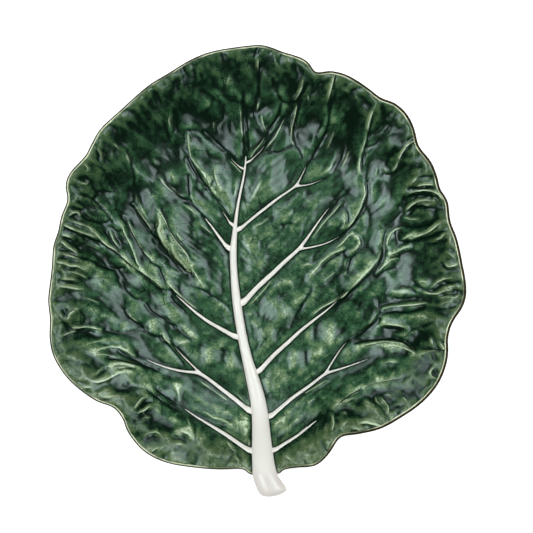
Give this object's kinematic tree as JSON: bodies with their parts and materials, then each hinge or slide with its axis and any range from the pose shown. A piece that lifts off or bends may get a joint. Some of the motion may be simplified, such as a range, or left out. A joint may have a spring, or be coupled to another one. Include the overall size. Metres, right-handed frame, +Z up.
{
  "type": "leaf-shaped plate",
  "caption": "Shallow glazed earthenware plate moulded as a green cabbage leaf, with a white midrib, branching white veins, a ruffled rim, a short stalk end and a round foot ring.",
  "frame": {"origin": "bottom centre of the whole plate's box, on the surface that the foot ring stands on", "axes": "+Y runs from the stalk to the tip of the leaf, +Z is up and out of the dish, +X is to the right seen from above"},
  "size_m": [0.2466, 0.266, 0.0337],
  "materials": {
    "green_glaze": "glossy translucent green glaze over moulded relief",
    "white_glaze": "glossy white glaze",
    "foot_clay": "cream clay, wiped of glaze at the tread"
  },
  "bodies": {
    "root": {"leaf_blade": "green_glaze", "foot_ring": "foot_clay", "midrib": "white_glaze", "right_vein_1": "white_glaze", "right_vein_2": "white_glaze", "right_vein_3": "white_glaze", "right_vein_4": "white_glaze", "right_vein_5": "white_glaze", "right_vein_6": "white_glaze", "left_vein_1": "white_glaze", "left_vein_2": "white_glaze", "left_vein_3": "white_glaze", "left_vein_4": "white_glaze", "left_vein_5": "white_glaze", "left_vein_6": "white_glaze"}
  },
  "joints": []
}
